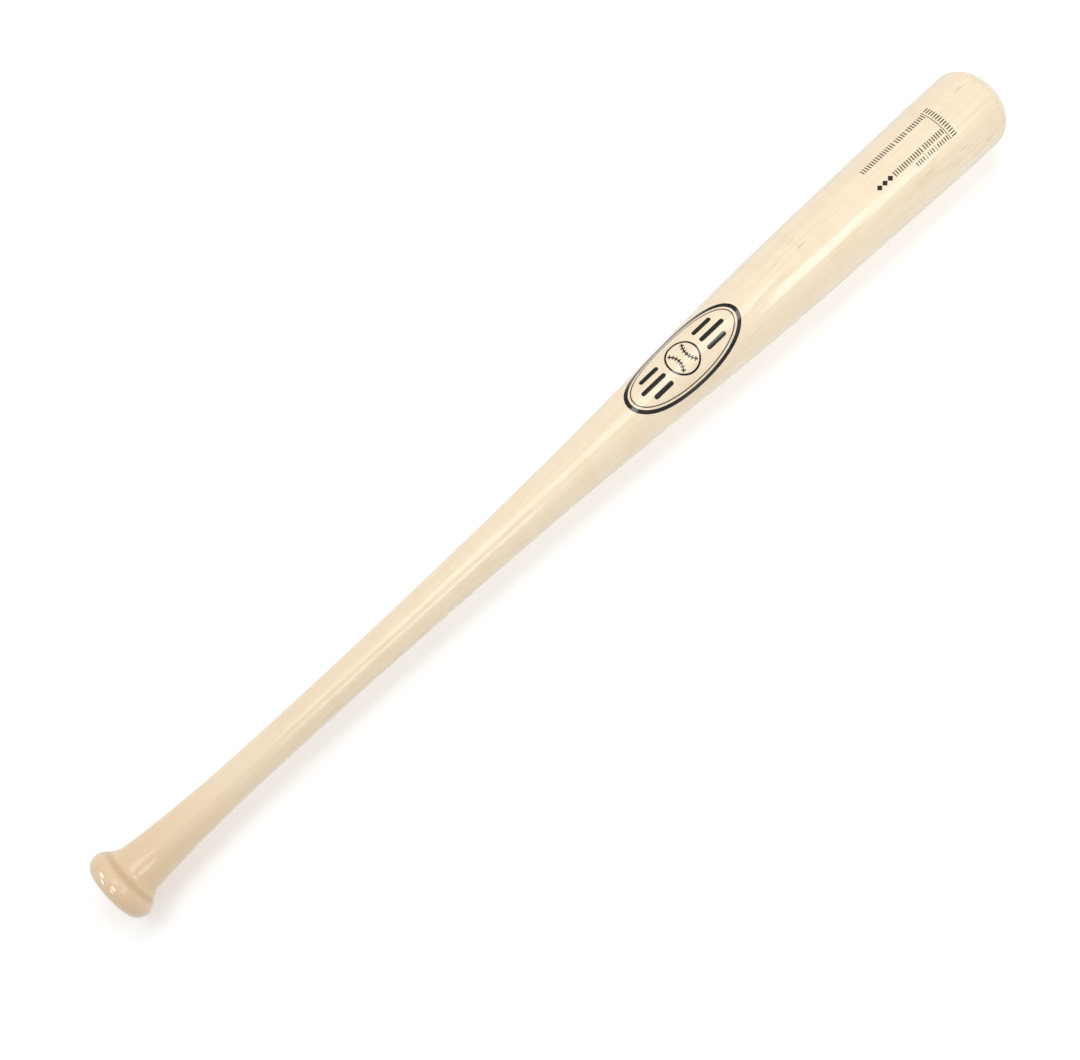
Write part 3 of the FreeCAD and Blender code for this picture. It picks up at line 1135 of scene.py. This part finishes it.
@dataclass
class BarrelPrint:
    """The small print near the barrel end: rows of ticks beside a rule round the barrel."""

    skin: BatSkin
    finish: bpy.types.Material
    rule_place: float
    rule_width: float = 0.5 * MM
    rule_turn: float = math.radians(27.2)
    line_gap: float = 1.2 * MM
    tick_width: float = 0.8 * MM
    tick_pitch: float = 2.2 * MM
    word_gap: float = 2.4 * MM
    model_words: tuple[int, ...] = (15, 5, 8)
    model_turn: float = math.radians(-21)
    model_height: float = 4.3 * MM
    series_words: tuple[int, ...] = (13, 9)
    series_turn: float = math.radians(11.5)
    series_height: float = 4.2 * MM
    size_words: tuple[int, ...] = (4, 3, 5)
    size_turn: float = math.radians(22.2)
    size_height: float = 3.4 * MM
    divider_gap: float = 1.9 * MM
    divider_height: float = 4.8 * MM
    divider_width: float = 0.4 * MM
    badge_marks: int = 3
    badge_mark_length: float = 4.9 * MM
    badge_mark_gap: float = 0.4 * MM
    badge_height: float = 4.6 * MM
    badge_gap: float = 1.6 * MM
    serial_gap: float = 1.5 * MM
    serial_marks: int = 14
    serial_length: float = 4.2 * MM
    serial_turn: float = math.radians(25.5)

    def _word_length(self, ticks: int) -> float:
        """Length of a word of this many ticks."""
        return (ticks - 1) * self.tick_pitch + self.tick_width

    def _words(self, counts: Sequence[int], gap: float, height: float) -> tuple[list[Grid], list[float]]:
        """Words of ticks that end beside the rule.

        Args:
            counts: Ticks in each word.
            gap: Room between two words.
            height: Height of the ticks.

        Returns:
            The ticks, and where each word starts.
        """
        length = sum(map(self._word_length, counts)) + gap * (len(counts) - 1)
        start = self.rule_place - self.line_gap - length
        grids, starts = [], []
        for count in counts:
            starts.append(start)
            for index in range(count):
                place = start + index * self.tick_pitch
                grids.append(block(place, self.tick_width, -height / 2, height / 2))
            start += self._word_length(count) + gap
        return grids, starts

    def _badge(self, line_start: float) -> list[Grid]:
        """A row of diamonds in front of the series line.

        Args:
            line_start: Where the series line begins.

        Returns:
            The drawing.
        """
        pitch = self.badge_mark_length + self.badge_mark_gap
        start = line_start - self.badge_gap - self.badge_marks * pitch + self.badge_mark_gap
        return [pointed(start + index * pitch, self.badge_mark_length, self.badge_height)
                for index in range(self.badge_marks)]

    def _serial(self) -> list[Grid]:
        """The row beyond the rule, side by side round the barrel.

        Returns:
            The drawing.
        """
        start = self.rule_place + self.rule_width + self.serial_gap
        radius = self.skin.radius_at(start)
        grids = []
        for index in range(self.serial_marks):
            middle = radius * self.serial_turn * (2 * index / (self.serial_marks - 1) - 1)
            low, high = middle - self.tick_width / 2, middle + self.tick_width / 2
            grids.append(block(start, self.serial_length, low, high, 3, 2))
        return grids

    def build(self) -> list[bpy.types.Object]:
        """Makes the seven films of the print.

        Returns:
            The films.
        """
        model, _ = self._words(self.model_words, self.word_gap, self.model_height)
        series, series_starts = self._words(self.series_words, self.word_gap, self.series_height)
        room = 2 * self.divider_gap + self.divider_width
        size, size_starts = self._words(self.size_words, room, self.size_height)
        half = self.divider_height / 2
        dividers = [block(start - self.divider_gap - self.divider_width, self.divider_width, -half, half)
                    for start in size_starts[1:]]
        reach = self.skin.radius_at(self.rule_place) * self.rule_turn
        rule = block(self.rule_place, self.rule_width, -reach, reach, 2, RULE_STEPS)
        drawings = (
            ("model_line", self.model_turn, Lay.WRAPPED, model),
            ("series_badge", self.series_turn, Lay.FROM_ABOVE, self._badge(series_starts[0])),
            ("series_line", self.series_turn, Lay.WRAPPED, series),
            ("size_line", self.size_turn, Lay.WRAPPED, size),
            ("size_dividers", self.size_turn, Lay.WRAPPED, dividers),
            ("rule_line", 0.0, Lay.WRAPPED, [rule]),
            ("serial_row", 0.0, Lay.WRAPPED, self._serial()),
        )
        pieces = []
        for node, turn, lay, grids in drawings:
            film = FilmPiece(f"{node}_print", node, turn, lay, grids)
            pieces.append(film.build(self.skin, self.finish, Slot.INK))
        return pieces


# ---- studio ----------------------------------------------------------------------------------
class Use(Enum):
    """What a light does for the picture."""

    GLOSS = "seen in the lacquer"
    FILL = "lights the wood"


@dataclass(frozen=True)
class SoftLight:
    """A flat soft light over the bat: where it starts and ends, how wide and how bright it is."""

    name: str
    use: Use
    start: float
    end: float
    start_swing: float
    end_swing: float
    width: float
    brightness: float
    distance: float = 1.30


@dataclass
class Studio:
    """The floor, the lights and the camera."""

    outline: BatOutline
    roll: float = math.radians(15)
    camera_distance: float = 1.0369
    camera_place: float = 0.1821
    camera_lean: float = math.radians(9.84)
    camera_aside: float = math.radians(0.75)
    picture_turn: float = math.radians(42.445)
    lens: float = 52.05
    sensor: float = 36.0
    lights: tuple[SoftLight, ...] = (
        SoftLight("upper_handle", Use.GLOSS, 0.085, 0.36, -23.5, -21, 0.50, 1.3),
        SoftLight("upper_neck", Use.GLOSS, 0.15, 0.55, -23.5, -21, 1.15, 0.7, 3.00),
        SoftLight("upper_label", Use.GLOSS, 0.36, 0.99, -21, -13, 0.52, 2.2),
        SoftLight("lower_handle", Use.GLOSS, 0.085, 0.36, 18, 18, 0.36, 1.7),
        SoftLight("lower_neck", Use.GLOSS, 0.15, 0.55, 18, 18, 0.83, 0.9, 3.00),
        SoftLight("lower_middle", Use.GLOSS, 0.36, 0.50, 18, 18, 0.36, 2.3),
        SoftLight("lower_taper", Use.GLOSS, 0.50, 0.57, 18, 18, 0.36, 1.1),
        SoftLight("barrel_near", Use.GLOSS, 0.98, 1.22, 18, 19, 0.54, 4.2),
        SoftLight("barrel_middle", Use.GLOSS, 1.22, 1.40, 19, 19, 0.54, 2.4),
        SoftLight("barrel_far", Use.GLOSS, 1.40, 1.52, 19, 19, 0.54, 1.2),
        SoftLight("window_low_near", Use.GLOSS, -2.90, -1.50, -8, -8, 0.42, 6.5, 1.40),
        SoftLight("window_high_near", Use.GLOSS, -1.00, -0.45, -8, -8, 0.42, 9.0, 1.40),
        SoftLight("window_low_far", Use.GLOSS, -2.90, -1.50, -65, -65, 0.42, 8.0, 1.40),
        SoftLight("window_high_far", Use.GLOSS, -1.00, -0.45, -65, -65, 0.42, 10.0, 1.40),
        SoftLight("broad_upper", Use.FILL, -0.80, 1.60, -36, -36, 1.20, 2.72, 2.20),
        SoftLight("broad_barrel", Use.FILL, 0.65, 1.25, 18, 18, 0.50, 2.75, 1.00),
    )
    room: float = 0.54
    ceiling_in_gloss: float = 0.26
    floor_in_gloss: float = 0.78
    floor_glow: float = 0.29
    floor_half: float = 20.0
    floor_pale: Colour = (0.82, 0.82, 0.82)
    floor_shade: Colour = (0.80, 0.80, 0.80)
    horizon_blur: float = 0.25

    def _axes(self) -> tuple[Vector, Vector, Vector]:
        """The three ways that the studio is laid out by.

        Returns:
            Along the bat, up towards the camera, and across towards the bat's lower side.
        """
        along = Vector((1, 0, 0))
        up = Vector((0, -math.sin(self.roll), math.cos(self.roll)))
        return along, up, up.cross(along) * -1

    def build_camera(self) -> None:
        """Sets the camera over the bat."""
        along, up, _ = self._axes()
        forward = math.sin(self.camera_lean) * along - math.cos(self.camera_lean) * up
        level = math.cos(self.camera_lean) * along + math.sin(self.camera_lean) * up
        across = forward.cross(level)
        aim = math.cos(self.camera_aside) * forward + math.sin(self.camera_aside) * across
        across = aim.cross(level)
        right = math.cos(self.picture_turn) * level + math.sin(self.picture_turn) * across
        top = math.sin(self.picture_turn) * level - math.cos(self.picture_turn) * across
        place = self.camera_place * along + self.camera_distance * up
        camera = bpy.data.objects.new("studio_camera", bpy.data.cameras.new("studio_camera"))
        camera.data.lens = self.lens
        camera.data.sensor_width = self.sensor
        camera.data.clip_start, camera.data.clip_end = 0.05, 60.0
        turn = Matrix((right, top, -aim)).transposed()
        camera.matrix_world = Matrix.Translation(place) @ turn.to_4x4()
        bpy.context.scene.collection.objects.link(camera)
        bpy.context.scene.camera = camera

    def build_lights(self) -> None:
        """Hangs the soft lights and lights the room."""
        for light in self.lights:
            self._hang(light)
        self._light_room()

    def _hang(self, light: SoftLight) -> None:
        """Hangs one light, facing the bat.

        Args:
            light: The light.
        """
        along, up, across = self._axes()
        ends = []
        for place, swing in ((light.start, light.start_swing), (light.end, light.end_swing)):
            turn = math.radians(swing)
            outward = math.cos(turn) * up + math.sin(turn) * across
            ends.append((place * along + light.distance * outward, outward))
        length_way = (ends[1][0] - ends[0][0]).normalized()
        outward = ends[0][1] + ends[1][1]
        width_way = outward.cross(length_way).normalized()
        facing = length_way.cross(width_way)
        lamp = bpy.data.lights.new(light.name, "AREA")
        lamp.shape = "RECTANGLE"
        lamp.size, lamp.size_y = (ends[1][0] - ends[0][0]).length, light.width
        lamp.energy = light.brightness * lamp.size * lamp.size_y * math.pi
        holder = bpy.data.objects.new(light.name, lamp)
        turned = Matrix((length_way, width_way, facing)).transposed()
        holder.matrix_world = Matrix.Translation((ends[0][0] + ends[1][0]) / 2) @ turned.to_4x4()
        holder.visible_glossy = light.use is Use.GLOSS
        holder.visible_diffuse = light.use is Use.FILL
        holder.visible_camera = False
        bpy.context.scene.collection.objects.link(holder)

    def _light_room(self) -> None:
        """Lights the room evenly, and keeps it dimmer in the lacquer, most of all overhead."""
        world = bpy.data.worlds.new("studio")
        world.use_nodes = True
        nodes = Nodes(world.node_tree)
        background = nodes.tree.nodes["Background"]
        background.inputs["Color"].default_value = (1.0, 1.0, 1.0, 1.0)
        overhead = nodes.ramp(nodes.place(of_room=True)[2], -self.horizon_blur, self.horizon_blur)
        falloff = nodes.math("MULTIPLY", overhead, self.floor_in_gloss - self.ceiling_in_gloss)
        gloss = nodes.math("SUBTRACT", self.floor_in_gloss, falloff)
        ray = nodes.tree.nodes.new("ShaderNodeLightPath").outputs["Is Glossy Ray"]
        change = nodes.math("MULTIPLY", ray, nodes.math("SUBTRACT", gloss, self.room))
        nodes.put(nodes.math("ADD", change, self.room), background.inputs["Strength"])
        bpy.context.scene.world = world
        bpy.context.scene.view_settings.view_transform = "Standard"

    def build_floor(self) -> None:
        """Lays a pale floor that touches the knob and the barrel."""
        points = self.outline.points()
        near_knob = [point for point in points if point[0] < self.outline.grip_start]
        knob = max(near_knob, key=lambda point: point[1])
        slope = max((r - knob[1]) / (x - knob[0]) for x, r in points if x > self.outline.taper_start)
        mesh = bpy.data.meshes.new("studio_floor")
        half = self.floor_half
        corners = []
        for x, y in ((-half, -half), (half, -half), (half, half), (-half, half)):
            corners.append((x, y, -knob[1] - slope * (x - knob[0])))
        mesh.from_pydata(corners, [], [(0, 1, 2, 3)])
        material, nodes, shader = new_material("studio_floor")
        tone = nodes.noise(nodes.place()[3], (1.5, 1.5, 1.5), 2.0)
        pale = nodes.mix(nodes.math("MULTIPLY", tone, 0.3), self.floor_pale, self.floor_shade)
        nodes.put(pale, shader.inputs["Base Color"])
        shader.inputs["Roughness"].default_value = 0.9
        shader.inputs["Specular IOR Level"].default_value = 0.1
        shader.inputs["Emission Color"].default_value = (1.0, 1.0, 1.0, 1.0)
        shader.inputs["Emission Strength"].default_value = self.floor_glow
        mesh.materials.append(material)
        floor = bpy.data.objects.new("studio_floor", mesh)
        floor.visible_glossy = False
        bpy.context.scene.collection.objects.link(floor)


def write_sizes() -> None:
    """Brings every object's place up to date; nothing is written."""
    bpy.context.view_layer.update()


def main() -> None:
    """Builds the bat and the studio round it."""
    logging.basicConfig(level=logging.INFO, format="%(name)s: %(message)s")
    low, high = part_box("turned_body")
    outline = BatOutline(length=high.x - low.x, barrel_radius=(high.y - low.y) / 2)
    effects = SharedEffects()
    maple = LacqueredMaple().build(effects)
    label_film = PrintedFilm(
        "label_film", ink=(0.007, 0.005, 0.005), thin_ink=(0.014, 0.011, 0.010),
        roughness=0.08, pinholes=0.76, shine=0.70,
    ).build(effects)
    print_ink = PrintedFilm(
        "print_ink", ink=(0.026, 0.016, 0.011), thin_ink=(0.080, 0.050, 0.032),
        roughness=0.40, pinholes=0.68, shine=0.10,
    ).build(effects)
    skin = BatSkin(radius_at=outline.taper())

    border_low, border_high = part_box("label_border")
    TurnedBody(outline, maple).build()
    CentreLabel(skin, label_film, centre=(border_low.x + border_high.x) / 2).build()
    BarrelPrint(skin, print_ink, rule_place=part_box("rule_line")[0].x).build()

    studio = Studio(outline)
    studio.build_floor()
    studio.build_lights()
    studio.build_camera()
    write_sizes()


if __name__ == "__main__":
    main()
